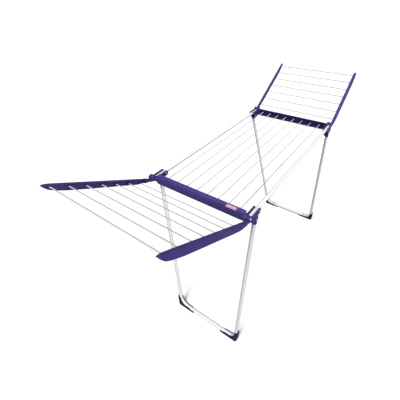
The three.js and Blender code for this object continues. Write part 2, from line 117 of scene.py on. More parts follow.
EAR_RADIUS = 14
EAR_ROOM = 10
END_WALL = 5
END_WALL_DROP = 8
HEEL_DROP = 18
HEEL_LENGTH = 14
HEEL_SLOPE = 3
LEG_HINGE_IN = 29
LEG_HINGE_DROP = 30
LEG_EYE = 11
LEG_CHEEK_RADIUS = 12
STOP_DEPTH = 9
LEG_OFFSET = 7
LEG_NECK = 17
COLLAR_END = 23
COLLAR_RADIUS = 11
PLUG_LENGTH = 24
PLUG_NOSE = 2
PLUG_NOSE_IN = 1.2
CORNER_Y = 210
BEND_RADIUS = 50
SHOE_WALL = 3.2
SHOE_UP = 70
SHOE_ALONG = 104
SHOE_TAPER = 34
SHOE_COVER = 6
SHOE_EDGE = 7

BITE = 1  # how far a solid runs into another one that it is joined to, or past one that it cuts

ROUND = 40  # sides of a small round
TUBE_ROUND = 48  # sides of a tube
EAR_ROUND = 64  # sides of the room that an arm leaves round the bracket's ear
BOSS_ROUND = 28  # sides of the boss round a line's socket
HOLE_ROUND = 24  # sides of a small hole
LINE_ROUND = 20  # sides of a line
ARC = 18  # steps of a rounded corner
SHOE_STEPS = 12  # steps of the curve round a shoe's outer corner

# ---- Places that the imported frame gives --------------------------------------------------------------

joints = {j["name"]: j for j in frame["joints"]}
wing_pivot = Vector(joints["near_wing_fold"]["pos_m"]) / MM
leg_pivot = Vector(joints["near_legs_fold"]["pos_m"]) / MM


def box_mm(node):
    low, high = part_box(node)
    return low / MM, high / MM


def middle(node):
    low, high = box_mm(node)
    return (low + high) / 2


HALF_DECK = -wing_pivot.x - WING_PIVOT_OUT
DECK_HEIGHT = wing_pivot.z - WING_PIVOT_UP
RAIL_Y = middle("left_deck_rail").y
line_ys = [middle(f"deck_line_{i + 1}").y for i in range(DECK_LINES)]
first, last = middle("near_wing_line_1"), middle(f"near_wing_line_{WING_LINES}")
WING_ANGLE = math.atan2(last.z - first.z, first.x - last.x)
foot_low = box_mm("near_leg_frame")[0]
LEG_RUN = leg_pivot.x - foot_low.x - LEG_RADIUS
LEG_DROP = leg_pivot.z - foot_low.z - LEG_RADIUS
LEG_REACH = math.hypot(LEG_RUN, LEG_DROP)
LEG_SPLAY = math.atan2(LEG_RUN, LEG_DROP)
LEG_Y = RAIL_Y + LEG_OFFSET
LEG_TAPER = math.atan2(LEG_Y - CORNER_Y, LEG_REACH)

INNER_CHEEK_Y = RAIL_Y - CHEEK_GAP / 2 - INNER_CHEEK
OUTER_CHEEK_Y = RAIL_Y + CHEEK_GAP / 2 + OUTER_CHEEK
BAR_END_Y = INNER_CHEEK_Y - GAP
CHEEK_BOTTOM = RAIL_RADIUS + GAP + WEB
ARM_INNER_Y = OUTER_CHEEK_Y - ARM_WIDTH
LUG_OUTER_Y = OUTER_CHEEK_Y - OUTER_CHEEK - GAP
WING_TIP = FIRST_WING_LINE + (WING_LINES - 1) * WING_LINE_PITCH + TIP_BEYOND_LINE
SOCKET_BOTTOM = SOCKET_MOUTH + SOCKET_DEPTH
TUBE_START = COLLAR_END + GAP
LEG_STOP_X = LEG_HINGE_IN - LEG_EYE - GAP

END_PLACE = {
    "near": Matrix.Translation((-HALF_DECK, 0, 0)),
    "far": Matrix.Translation((HALF_DECK, 0, 0)) @ Matrix.Rotation(math.pi, 4, "Z"),
}
DECK_PLACE = Matrix.Translation((0, 0, DECK_HEIGHT))
WING_PLACE = Matrix.Translation((-WING_PIVOT_OUT, 0, wing_pivot.z)) @ Matrix.Rotation(
    WING_ANGLE, 4, "Y"
)
LEG_PLACE = Matrix.Translation((LEG_HINGE_IN, 0, leg_pivot.z)) @ Matrix.Rotation(LEG_SPLAY, 4, "Y")
MIRROR = Matrix.Diagonal((1, -1, 1, 1))

# ---- Mesh helpers ------------------------------------------------------------------------------------


def mesh_from(verts, faces):
    """A closed mesh with its faces turned outwards, in millimetres."""
    made = bmesh.new()
    points = [made.verts.new(v) for v in verts]
    for face in faces:
        made.faces.new([points[i] for i in face])
    bmesh.ops.recalc_face_normals(made, faces=made.faces)
    mesh = bpy.data.meshes.new("part")
    made.to_mesh(mesh)
    made.free()
    return mesh


def loft(rings, closed=False):
    """Rings of as many points each, joined one to the next, and capped unless the loft closes."""
    count = len(rings[0])
    verts = [p for ring in rings for p in ring]
    faces = []
    for r in range(len(rings) if closed else len(rings) - 1):
        a, b = r * count, (r + 1) % len(rings) * count
        for i in range(count):
            j = (i + 1) % count
            faces.append((a + i, a + j, b + j, b + i))
    if not closed:
        faces += [tuple(range(count)), tuple(range((len(rings) - 1) * count, len(verts)))]
    return mesh_from(verts, faces)


def plate_xz(points, low, high):
    """An outline in X and Z, made solid between two distances along Y."""
    return loft([[(x, y, z) for x, z in points] for y in (low, high)])


def plate_yz(points, low, high):
    return loft([[(x, y, z) for y, z in points] for x in (low, high)])


def block(x0, x1, y0, y1, z0, z1):
    return plate_xz([(x0, z0), (x1, z0), (x1, z1), (x0, z1)], y0, y1)


def circle(radius, sides=ROUND):
    steps = (2 * math.pi * i / sides for i in range(sides))
    return [(radius * math.cos(a), radius * math.sin(a)) for a in steps]


def bar_y(radius, low, high, x=0.0, z=0.0, sides=ROUND):
    return plate_xz([(x + a, z + b) for a, b in circle(radius, sides)], low, high)


def bar_x(radius, low, high, y, z, sides):
    return plate_yz([(y + a, z + b) for a, b in circle(radius, sides)], low, high)


def turned_y(profile, x, z):
    """A solid of revolution about a line along Y: (radius, place along Y) pairs from end to end."""
    return loft([[(x + a, y, z + b) for a, b in circle(r)] for r, y in profile])


def arc(cx, cz, radius, start, end, steps=ARC):
    turns = (start + (end - start) * i / steps for i in range(steps + 1))
    return [(cx + radius * math.cos(a), cz + radius * math.sin(a)) for a in turns]


def smooth(points, divisions):
    """A smooth run of points through a few chosen ones."""
    last_point = len(points) - 1
    run = []
    for n in range(divisions + 1):
        place = last_point * n / divisions
        i = min(int(place), last_point)
        t = place - i
        p = [Vector(points[min(max(i + k, 0), last_point)]) for k in (-1, 0, 1, 2)]
        v0, v1 = (p[2] - p[0]) / 2, (p[3] - p[1]) / 2
        cubic = (2 * p[1] - 2 * p[2] + v0 + v1) * t**3
        square = (-3 * p[1] + 3 * p[2] - 2 * v0 - v1) * t**2
        run.append(tuple(cubic + square + v0 * t + p[1]))
    return run


def beside(points, distance, closed=False):
    """A run of points moved to its right by the distance."""
    end = len(points) - 1
    moved = []
    for i, (x, z) in enumerate(points):
        before = points[i - 1 if i > 0 else (end if closed else 0)]
        after = points[i + 1 if i < end else (0 if closed else end)]
        along = (Vector(after) - Vector(before)).normalized()
        moved.append((x + along.y * distance, z - along.x * distance))
    return moved


FOLD_SHARE = 0.97  # a moved point nearer to the run than this share of the distance is on a fold


def inset(points, distance):
    """A closed run of points moved inwards, without those that would fold over each other."""
    edges = [(Vector(a), Vector(b)) for a, b in zip(points, points[1:] + points[:1])]

    def clearance(point):
        spans = []
        for a, b in edges:
            share = max(0.0, min(1.0, (point - a).dot(b - a) / (b - a).length_squared))
            spans.append((point - a - (b - a) * share).length)
        return min(spans)

    moved = beside(points, distance, closed=True)
    return [p for p in moved if clearance(Vector(p)) > distance * FOLD_SHARE]


def joined(*meshes):
    """Separate closed meshes as one mesh."""
    made = bmesh.new()
    for mesh in meshes:
        made.from_mesh(mesh)
    mesh = bpy.data.meshes.new("part")
    made.to_mesh(mesh)
    made.free()
    return mesh


def shaped(base, *steps):
    """The base with other solids added to it, cut from it or kept within it, one after the other."""
    host = bpy.data.objects.new("host", base)
    bpy.context.scene.collection.objects.link(host)
    tools = []
    for operation, mesh in steps:
        tool = bpy.data.objects.new("tool", mesh)
        bpy.context.scene.collection.objects.link(tool)
        tools.append(tool)
        step = host.modifiers.new("step", "BOOLEAN")
        step.operation, step.object, step.solver = operation, tool, "MANIFOLD"
    depsgraph = bpy.context.evaluated_depsgraph_get()
    result = bpy.data.meshes.new_from_object(host.evaluated_get(depsgraph))
    for item in [host, *tools]:
        bpy.data.objects.remove(item)
    return result


def add(mesh):
    return ("UNION", mesh)


def cut(mesh):
    return ("DIFFERENCE", mesh)


def keep(mesh):
    return ("INTERSECT", mesh)


FLAT_ANGLE = math.radians(0.6)
SHARP_ANGLE = math.radians(34)
BEVEL_ANGLE = math.radians(38)
WELD_MM = 0.01


def piece(name, mesh, place, body, material, slot, nodes, edge=0.0):
    """A finished piece of the object, in metres, which rides on its body and stands for its nodes."""
    made = bmesh.new()
    made.from_mesh(mesh)
    bmesh.ops.remove_doubles(made, verts=made.verts, dist=WELD_MM)
    bmesh.ops.dissolve_limit(
        made, angle_limit=FLAT_ANGLE, verts=made.verts, edges=made.edges, delimit={"NORMAL"}
    )
    bmesh.ops.transform(made, matrix=Matrix.Scale(MM, 4) @ place, verts=made.verts)
    bmesh.ops.recalc_face_normals(made, faces=made.faces)
    final = bpy.data.meshes.new(name)
    made.to_mesh(final)
    made.free()
    final.materials.append(material)
    obj = bpy.data.objects.new(name, final)
    bpy.context.scene.collection.objects.link(obj)
    final.shade_smooth()
    if edge:
        bevel = obj.modifiers.new("Rounded edges", "BEVEL")
        bevel.width, bevel.segments = edge * MM, 3
        bevel.limit_method, bevel.angle_limit = "ANGLE", BEVEL_ANGLE
        bevel.miter_outer = "MITER_ARC"
    else:
        final.set_sharp_from_angle(angle=SHARP_ANGLE)
    weighted = obj.modifiers.new("Even shading", "WEIGHTED_NORMAL")
    weighted.keep_sharp = True
    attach(obj, body)
    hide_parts(*nodes)
    return obj


# ---- Materials ---------------------------------------------------------------------------------------


class Finish:
    """A node material, built step by step. Texture places are in metres on the object itself."""

    def __init__(self, name):
        self.material = bpy.data.materials.new(name)
        self.material.use_nodes = True
        self.nodes = self.material.node_tree.nodes
        self.links = self.material.node_tree.links
        self.shader = self.nodes["Principled BSDF"]
        self.place = self.nodes.new("ShaderNodeTexCoord").outputs["Object"]

    def noise(self, scale, detail=3.0, roughness=0.55, stretch=(1, 1, 1)):
        mapping = self.nodes.new("ShaderNodeMapping")
        mapping.inputs["Scale"].default_value = stretch
        noise = self.nodes.new("ShaderNodeTexNoise")
        noise.inputs["Scale"].default_value = scale
        noise.inputs["Detail"].default_value = detail
        noise.inputs["Roughness"].default_value = roughness
        self.links.new(self.place, mapping.inputs["Vector"])
        self.links.new(mapping.outputs["Vector"], noise.inputs["Vector"])
        return noise.outputs["Fac"]

    def ramp(self, value, stops):
        ramp = self.nodes.new("ShaderNodeValToRGB")
        ramp.color_ramp.elements[0].position = stops[0][0]
        ramp.color_ramp.elements[1].position = stops[-1][0]
        for position, _ in stops[1:-1]:
            ramp.color_ramp.elements.new(position)
        for element, (_, colour) in zip(ramp.color_ramp.elements, stops):
            element.color = (*colour, 1)
        self.links.new(value, ramp.inputs["Fac"])
        return ramp.outputs["Color"]

    def scaled(self, value, low, high, start=0.3, end=0.7):
        spread = self.nodes.new("ShaderNodeMapRange")
        for name, number in (
            ("From Min", start), ("From Max", end), ("To Min", low), ("To Max", high),
        ):
            spread.inputs[name].default_value = number
        self.links.new(value, spread.inputs["Value"])
        return spread.outputs["Result"]

    def mixed(self, a, b, factor, blend="MIX"):
        mix = self.nodes.new("ShaderNodeMix")
        mix.data_type, mix.blend_type = "RGBA", blend
        for socket, value in ((mix.inputs[6], a), (mix.inputs[7], b), (mix.inputs[0], factor)):
            if isinstance(value, bpy.types.NodeSocket):
                self.links.new(value, socket)
            else:
                socket.default_value = value
        return mix.outputs[2]

    def bump(self, *heights):
        normal = None
        for height, strength, distance in heights:
            bump = self.nodes.new("ShaderNodeBump")
            bump.inputs["Strength"].default_value = strength
            bump.inputs["Distance"].default_value = distance
            self.links.new(height, bump.inputs["Height"])
            if normal is not None:
                self.links.new(normal, bump.inputs["Normal"])
            normal = bump.outputs["Normal"]
        self.links.new(normal, self.shader.inputs["Normal"])

    def set(self, **values):
        for name, value in values.items():
            socket = self.shader.inputs[name.replace("_", " ")]
            if isinstance(value, bpy.types.NodeSocket):
                self.links.new(value, socket)
            else:
                socket.default_value = value
        return self.material


def tint(colour, share):
    return tuple(min(1.0, c * share) for c in colour)


def moulded_plastic(name, colour, roughness, scuff):
    """Injection-moulded plastic: a cloudy colour, a fine spark-eroded grain, and faint long scuffs."""
    finish = Finish(name)
    cloud = finish.noise(9, 4)
    grain = finish.noise(2600, 2, 0.6)
    flow = finish.noise(38, 5, 0.6, (1, 0.16, 1))
    scuffs = finish.scaled(finish.noise(150, 6, 0.7, (1, 0.08, 1)), 0, 1, 0.63, 0.7)
    body = finish.ramp(cloud, [(0.3, tint(colour, 0.9)), (0.5, colour), (0.7, tint(colour, 1.1))])
    speckled = finish.mixed(body, (*tint(colour, 0.78), 1), finish.scaled(grain, 0, 0.5, 0.5, 0.8))
    worn = finish.mixed(speckled, (*scuff, 1), finish.scaled(scuffs, 0, 0.16, 0, 1))
    finish.bump((grain, 0.14, 0.00012), (flow, 0.12, 0.0004))
    rough = finish.scaled(flow, roughness - 0.05, roughness + 0.09)
    return finish.set(Base_Color=worn, Roughness=rough, IOR=1.49, Specular_IOR_Level=0.3)


def powder_coat(name, colour):
    """Baked white paint on steel tube: orange-peel ripple, a faint cloud and small specks of grime."""
    finish = Finish(name)
    cloud = finish.noise(7, 3)
    peel = finish.noise(520, 2, 0.45)
    fine = finish.noise(3200, 2)
    body = finish.ramp(cloud, [(0.3, tint(colour, 0.955)), (0.7, colour)])
    grime = finish.scaled(finish.noise(46, 7, 0.72, (1, 1, 0.4)), 0, 0.22, 0.6, 0.74)
    worn = finish.mixed(body, (0.42, 0.41, 0.4, 1), grime)
    finish.bump((peel, 0.22, 0.0003), (fine, 0.06, 0.00008))
    rough = finish.scaled(peel, 0.24, 0.38)
    return finish.set(
        Base_Color=worn, Roughness=rough, Coat_Weight=0.35, Coat_Roughness=0.16, IOR=1.5
    )


def coated_wire(name, colour):
    """Soft plastic coat drawn over wire: a faint cloud, small grey marks and an uneven skin."""
    finish = Finish(name)
    cloud = finish.noise(24, 3)
    skin = finish.noise(420, 2, 0.5)
    body = finish.ramp(cloud, [(0.3, tint(colour, 0.93)), (0.7, tint(colour, 1.03))])
    marked = finish.mixed(body, (0.5, 0.5, 0.49, 1), finish.scaled(skin, 0, 0.14, 0.55, 0.75))
    finish.bump((skin, 0.2, 0.0002), (finish.noise(2400, 2), 0.1, 0.0001))
    return finish.set(
        Base_Color=marked, Roughness=finish.scaled(cloud, 0.4, 0.55), IOR=1.46
    )


def brushed_steel(name, colour):
    """Plated rivet steel, turned on its face and a little dulled."""
    finish = Finish(name)
    turned = finish.noise(1500, 3, 0.6, (1, 0.25, 1))
    dull = finish.noise(240, 4)
    body = finish.ramp(dull, [(0.3, tint(colour, 0.72)), (0.65, colour)])
    finish.bump((turned, 0.25, 0.0001))
    return finish.set(Base_Color=body, Roughness=finish.scaled(turned, 0.22, 0.42), Metallic=0.9)


def plain_film(name, pale_tone, dark_tone):
    """A label's film with nothing printed on it: a pale tone with soft darker patches."""
    finish = Finish(name)
    patches = finish.noise(170, 4, 0.6)
    body = finish.ramp(patches, [(0.35, pale_tone), (0.6, dark_tone)])
    finish.bump((finish.noise(900, 3), 0.12, 0.0001))
    return finish.set(Base_Color=body, Roughness=finish.scaled(patches, 0.28, 0.4), IOR=1.5)


purple = moulded_plastic("purple_plastic", (0.047, 0.035, 0.18), 0.42, (0.18, 0.16, 0.38))
dark_purple = moulded_plastic("dark_purple_plastic", (0.022, 0.016, 0.058), 0.5, (0.12, 0.1, 0.2))
tube_white = powder_coat("white_tube", (0.72, 0.725, 0.735))
line_white = coated_wire("line_coating", (0.48, 0.485, 0.48))
steel = brushed_steel("pin_steel", (0.72, 0.73, 0.75))
label_film = plain_film("blank_label", (0.62, 0.5, 0.58), (0.5, 0.16, 0.2))

# ---- Deck --------------------------------------------------------------------------------------------


def deck_rail(y):
    """One rail's tube, with a hole for a rivet near each end."""
    end = HALF_DECK - GAP
    hole, hole_x = RIVET_RADIUS + PIN_GAP, HALF_DECK - CHEEK_TIP
    return shaped(
        bar_x(RAIL_RADIUS, -end, end, y, DECK_HEIGHT, TUBE_ROUND),
        cut(bar_x(RAIL_RADIUS - TUBE_WALL, -end - BITE, end + BITE, y, DECK_HEIGHT, TUBE_ROUND)),
        *[
            cut(bar_y(hole, y - CHEEK_GAP, y + CHEEK_GAP, x, DECK_HEIGHT, HOLE_ROUND))
            for x in (hole_x, -hole_x)
        ],
    )


def chamfered_line(low, high, axis, place):
    """A line between two points along an axis, with its cut ends a little chamfered."""
    ends = [
        (LINE_RADIUS - END_CHAMFER, low), (LINE_RADIUS, low + END_CHAMFER),
        (LINE_RADIUS, high - END_CHAMFER), (LINE_RADIUS - END_CHAMFER, high),
    ]
    rings = []
    for r, along in ends:
        ring = circle(r, LINE_ROUND)
        if axis == "X":
            rings.append([(along, place[0] + a, place[1] + b) for a, b in ring])
        else:
            rings.append([(place[0] + a, along, place[1] + b) for a, b in ring])
    return loft(rings)


BAR_FACE = smooth(
    [(-11.5, -BAR_FOOT), (-14, -14), (-13.6, -3), (-11, 9), (-5, 18.5), (BAR_BACK, BAR_TOP)], 30
)


def end_bar():
    """The channel that holds the ends of the deck lines, open on its inboard side."""
    inner = beside(BAR_FACE, BAR_WALL)[::-1]
    floor = BAR_WALL - BAR_FOOT
    channel = [
        (BAR_BACK, -BAR_FOOT), *BAR_FACE, *inner[:-1], (inner[-1][0], floor), (BAR_BACK, floor),
    ]
    corner_y, corner_z = BAR_END_Y - BAR_CORNER, BAR_TOP - BAR_CORNER
    outline = [
        (-BAR_END_Y, -BAR_FOOT - BITE), (BAR_END_Y, -BAR_FOOT - BITE),
        *arc(corner_y, corner_z, BAR_CORNER, 0, math.pi / 2, 10),
        *arc(-corner_y, corner_z, BAR_CORNER, math.pi / 2, math.pi, 10),
    ]
    bore = LINE_RADIUS + PIN_GAP

    def at_each_line(radius, low, high, sides):
        return joined(*[bar_x(radius, low, high, y, 0, sides) for y in line_ys])

    return shaped(
        plate_xz(channel, -BAR_END_Y, BAR_END_Y),
        keep(plate_yz(outline, -2 * BAR_TOP, 2 * BAR_TOP)),
        add(at_each_line(BOSS_RADIUS, -BOSS_ROOT, -SOCKET_MOUTH, BOSS_ROUND)),
        cut(at_each_line(bore, -SOCKET_BOTTOM, BITE - SOCKET_MOUTH, HOLE_ROUND)),
    )


LABEL_ALONG = (-206, -156)  # where the blank label lies along the near bar's upper face
LABEL_FROM = 13  # the height of its lower edge
LABEL_TO = 4  # how far inboard its upper edge is
LABEL_FILM = 0.25


def label():
    """A thin film that follows the bar's face."""
    covered = [p for p in BAR_FACE if p[1] > LABEL_FROM and p[0] < LABEL_TO]
    outline = [*beside(covered, -LABEL_FILM), *beside(covered, LABEL_FILM)[::-1]]
    return plate_xz(outline, *LABEL_ALONG)


def cheek_outline():
    """Both cheeks' outline: the ear round the wing's pivot, the tip along the rail, the leg's lobe."""
    tip_radius = (CHEEK_TOP + CHEEK_BOTTOM) / 2
    ear_end = math.asin((CHEEK_TOP - WING_PIVOT_UP) / EAR_RADIUS)
    return [
        *arc(CHEEK_TIP, CHEEK_TOP - tip_radius, tip_radius, math.pi / 2, -math.pi / 2),
        (LEG_HINGE_IN + LEG_CHEEK_RADIUS, -CHEEK_BOTTOM),
        *arc(LEG_HINGE_IN, -LEG_HINGE_DROP, LEG_CHEEK_RADIUS, 0.2, -math.pi * 0.8),
        (-END_WALL, -CHEEK_BOTTOM - END_WALL_DROP - BITE),
        *arc(-WING_PIVOT_OUT, WING_PIVOT_UP, EAR_RADIUS, -math.pi / 3, ear_end - 2 * math.pi, 30),
    ]


RING_GAP = 0.8  # between a pin's head and the raised ring round it
RING_WIDTH = 1.8
RING_HEIGHT = 0.8


def ring_y(inner, low, x, z):
    """A raised ring on the outer cheek, round the head of a pin."""
    outer = bar_y(inner + RING_WIDTH, low - BITE, low + RING_HEIGHT, x, z)
    return shaped(outer, cut(bar_y(inner, low - 2 * BITE, low + 2 * BITE, x, z)))


def bracket():
    """Corner bracket of the left side, with its holes and the rings round the pin heads."""
    low_y, high_y = INNER_CHEEK_Y + BITE, OUTER_CHEEK_Y - BITE
    web_low, web_top = -LEG_HINGE_DROP - STOP_DEPTH, BITE - CHEEK_BOTTOM
    wall_top = RAIL_RADIUS + 1
    saddle_end = CHEEK_TIP + CHEEK_TOP / 2
    spigot_y, spigot_z = BAR_END_Y - SPIGOT_REACH, BAR_WALL + GAP - BAR_FOOT
    outline = cheek_outline()
    wing_x, wing_z = -WING_PIVOT_OUT, WING_PIVOT_UP
    leg_x, leg_z = LEG_HINGE_IN, -LEG_HINGE_DROP
    return shaped(
        joined(
            plate_xz(outline, INNER_CHEEK_Y, INNER_CHEEK_Y + INNER_CHEEK),
            plate_xz(outline, OUTER_CHEEK_Y - OUTER_CHEEK, OUTER_CHEEK_Y),
        ),
        add(block(-END_WALL, saddle_end, low_y, high_y, -CHEEK_BOTTOM, -CHEEK_BOTTOM + WEB)),
        add(block(-END_WALL, -GAP, low_y, high_y, -CHEEK_BOTTOM - END_WALL_DROP, wall_top)),
        add(block(LEG_STOP_X - WEB, LEG_STOP_X, low_y, high_y, web_low, web_top)),
        add(bar_y(EAR_RADIUS, INNER_CHEEK_Y + BITE / 2, ARM_INNER_Y - GAP, wing_x, wing_z)),
        add(block(-SPIGOT_OUT, BAR_BACK - 2, spigot_y, low_y, spigot_z, SPIGOT_TOP)),
        add(joined(
            ring_y(PIN_HEAD + RING_GAP, OUTER_CHEEK_Y, wing_x, wing_z),
            ring_y(PIN_HEAD + RING_GAP, OUTER_CHEEK_Y, leg_x, leg_z),
            ring_y(RIVET_HEAD + RING_GAP, OUTER_CHEEK_Y, CHEEK_TIP, 0),
        )),
        cut(joined(
            bar_y(PIN_RADIUS + PIN_GAP, 0, 2 * RAIL_Y, wing_x, wing_z),
            bar_y(PIN_RADIUS + PIN_GAP, 0, 2 * RAIL_Y, leg_x, leg_z),
            bar_y(RIVET_RADIUS + PIN_GAP, 0, 2 * RAIL_Y, CHEEK_TIP, 0),
        )),
    )


def headed_pin(radius, head, x, z, inner_head):
    """A rivet with a domed head outside, and one inside unless it ends in the bracket."""
    low, high = INNER_CHEEK_Y - GAP, OUTER_CHEEK_Y + GAP

    def dome(start, way):
        steps = [(1.0, 0.0), (1.0, 0.35), (0.93, 0.68), (0.72, 0.9), (0.4, 0.985), (0.02, 1.0)]
        return [(head * share, start + way * HEAD_HEIGHT * rise) for share, rise in steps]

    if inner_head:
        inside = [*dome(low, -1)[::-1], (radius, low)]
    else:
        start = INNER_CHEEK_Y + GAP
        inside = [(0.02, start), (radius - END_CHAMFER, start), (radius, start + END_CHAMFER)]
    return turned_y([*inside, (radius, high), *dome(high, 1)], x, z)


# ---- Wings -------------------------------------------------------------------------------------------


def in_wing(x, z):
    """A place in the bracket's X and Z, as distances along the wing and square to it."""
    dx, dz = x + WING_PIVOT_OUT, z - WING_PIVOT_UP
    c, s = math.cos(WING_ANGLE), math.sin(WING_ANGLE)
    return (-dx * c + dz * s, dx * s + dz * c)


def arm_outline():
    """The arm from the side: boat-shaped, with a blunt raised tip and a heel at the hinge."""
    plane, tip = -WING_LINE_DROP, WING_TIP
    upper = smooth(
        [
            (6, 5 - LUG_RADIUS), (ARM_ROOT - 2, 1.5 - LUG_RADIUS), (tip * 0.5, plane + 14),
            (tip - 85, plane + 10.7), (tip - 31, plane + 9.5), (tip - 13, plane + 8),
            (tip - 4, plane + 5.5), (tip, plane + 3),
        ],
        77,
    )
    lower = smooth(
        [
            (tip - 2, plane), (tip - 11, plane - 5.5), (tip - 23, plane - 11.5),
            (tip - 41, plane - 15), (tip - 71, plane - 17), (tip - 111, plane - 17.3),
            (tip * 0.5, plane - 13.5), (FIRST_WING_LINE + 26, plane - 8.5),
            (FIRST_WING_LINE - 10, plane - 4.5), (24, plane + 5),
        ],
        90,
    )
    wall_x, heel_z = -END_WALL - GAP, WING_PIVOT_UP - HEEL_DROP
    heel = [
        in_wing(wall_x - HEEL_LENGTH, heel_z - HEEL_SLOPE),
        in_wing(wall_x, heel_z),
        in_wing(wall_x, WING_PIVOT_UP),
    ]
    return [*upper, *lower, *heel]


def wing_line_at(index):
    return FIRST_WING_LINE + index * WING_LINE_PITCH


def wing_arm():
    """Wing arm of the left side: an outer wall with a top flange, a lower lip and line sockets."""

    def to_shape(points):
        return [(-along, up) for along, up in points]

    outline = arm_outline()
    room = [p for p in inset(outline, ARM_WALL) if p[0] > ARM_ROOT]
    under = [(along, up - 2 * ARM_WALL) for along, up in room]
    mouth = OUTER_CHEEK_Y - ARM_WALL - SOCKET_DEPTH
    bore = LINE_RADIUS + PIN_GAP
    floor = OUTER_CHEEK_Y - ARM_WALL

    def at_each_line(radius, low, high, sides):
        places = [-wing_line_at(i) for i in range(WING_LINES)]
        return joined(*[bar_y(radius, low, high, x, -WING_LINE_DROP, sides) for x in places])

    return shaped(
        plate_xz(to_shape(outline), ARM_INNER_Y, OUTER_CHEEK_Y),
        add(bar_y(LUG_RADIUS, ARM_INNER_Y, LUG_OUTER_Y)),
        cut(plate_xz(to_shape(room), ARM_INNER_Y - BITE, floor)),
        cut(plate_xz(to_shape(under), ARM_INNER_Y - BITE, OUTER_CHEEK_Y - ARM_LIP)),
        cut(bar_y(EAR_RADIUS + EAR_ROOM, LUG_OUTER_Y, OUTER_CHEEK_Y + BITE, sides=EAR_ROUND)),
        add(at_each_line(BOSS_RADIUS, mouth, OUTER_CHEEK_Y - BITE, BOSS_ROUND)),
        cut(at_each_line(bore, ARM_INNER_Y, floor, HOLE_ROUND)),
        cut(bar_y(PIN_RADIUS + PIN_GAP, 0, 2 * RAIL_Y)),
    )


# ---- Leg frames --------------------------------------------------------------------------------------

HALF_BEND = (math.pi / 2 - LEG_TAPER) / 2
SET_BACK = BEND_RADIUS * math.tan(HALF_BEND)
BEND_CENTRE = (CORNER_Y - SET_BACK, BEND_RADIUS - LEG_REACH)
LEG_UP = Vector((math.sin(LEG_TAPER), math.cos(LEG_TAPER)))
LEG_SIDE = Vector((math.cos(LEG_TAPER), -math.sin(LEG_TAPER)))
CORNER = Vector((CORNER_Y, -LEG_REACH))


def leg_stations():
    """The tube's centre line from the top of the right leg to the top of the left one."""
    bend = arc(*BEND_CENTRE, BEND_RADIUS, -math.pi / 2, 2 * HALF_BEND - math.pi / 2, 24)
    top = CORNER + LEG_UP * (LEG_REACH / math.cos(LEG_TAPER) - TUBE_START)
    left = [*bend, tuple(top)]
    return [(-y, z) for y, z in left][::-1] + left


def swept(stations, radius, sides):
    """Rings square to a path in Y and Z."""
    rings = []
    for i, (y, z) in enumerate(stations):
        before = Vector(stations[max(i - 1, 0)])
        after = Vector(stations[min(i + 1, len(stations) - 1)])
        here = Vector((y, z))
        into = (here - before).normalized() if i else (after - here).normalized()
        out = (after - here).normalized() if i < len(stations) - 1 else into
        along = (into + out).normalized()
        side = Vector((along.y, -along.x)) / max(along.dot(into), 0.5)
        rings.append([(b, y + side.x * a, z + side.y * a) for a, b in circle(radius, sides)])
    return rings


def leg_tube():
    """The bent tube with its bore, open at both ends."""
    outside = swept(leg_stations(), LEG_RADIUS, TUBE_ROUND)
    inside = swept(leg_stations(), LEG_RADIUS - TUBE_WALL, TUBE_ROUND)
    return loft([*outside, *inside[::-1]], closed=True)


def leg_knuckle(web):
    """Knuckle on the top of the left leg: eye, heel, collar, and the plug in the tube's bore."""
    half = CHEEK_GAP / 2 - GAP
    down = Matrix.Translation((0, LEG_Y, 0)) @ Matrix.Rotation(-LEG_TAPER, 4, "X")

    def turned(*profile):
        rings = [[down @ Vector((a, b, -along)) for a, b in circle(r)] for r, along in profile]
        return loft(rings)

    plug = LEG_RADIUS - TUBE_WALL - PIN_GAP
    plug_end = COLLAR_END + PLUG_LENGTH
    return shaped(
        bar_y(LEG_EYE, RAIL_Y - half, RAIL_Y + half),
        add(block(-LEG_EYE, LEG_EYE - BITE, RAIL_Y - half, RAIL_Y + half, -LEG_NECK, 0)),
        add(turned((COLLAR_RADIUS, LEG_NECK - 2 * BITE), (COLLAR_RADIUS, COLLAR_END))),
        add(turned((plug, LEG_NECK), (plug, plug_end - PLUG_NOSE), (plug - PLUG_NOSE_IN, plug_end))),
        cut(bar_y(PIN_RADIUS + PIN_GAP, 0, 2 * RAIL_Y)),
        cut(web),
    )


def foot_shoe(floor):
    """Corner shoe of the left side: a trough round the outside of the bend, flat on the floor."""
    out = LEG_RADIUS + SHOE_WALL

    def on_leg(along, offset):
        return tuple(CORNER + LEG_UP * along + LEG_SIDE * offset)

    def on_bar(along, offset):
        return (CORNER_Y - along, -LEG_REACH - offset)

    outer = Vector((
        CORNER_Y + (out - out * math.sin(LEG_TAPER)) / math.cos(LEG_TAPER), -LEG_REACH - out
    ))
    start, end = Vector(on_leg(0, out)), Vector(on_bar(0, out))
    rounded = [
        tuple(start * (1 - t) ** 2 + outer * 2 * t * (1 - t) + end * t**2)
        for t in (i / SHOE_STEPS for i in range(SHOE_STEPS + 1))
    ]
    outline = [
        on_leg(SHOE_UP, SHOE_EDGE),
        on_leg(SHOE_UP, out),
        *rounded,
        on_bar(SHOE_ALONG, out),
        on_bar(SHOE_ALONG, SHOE_EDGE),
        on_bar(max(SHOE_ALONG - SHOE_TAPER, SET_BACK), -SHOE_COVER),
        *arc(*BEND_CENTRE, BEND_RADIUS - SHOE_COVER, -math.pi / 2, -LEG_TAPER, 20),
        on_leg(max(SHOE_UP - SHOE_TAPER / 2, SET_BACK), -SHOE_COVER),
    ]
    bore = loft(swept(leg_stations(), LEG_RADIUS + PIN_GAP, TUBE_ROUND))
    return shaped(plate_yz(outline, -out, out), cut(bore), cut(floor))


# ---- Assembly ----------------------------------------------------------------------------------------

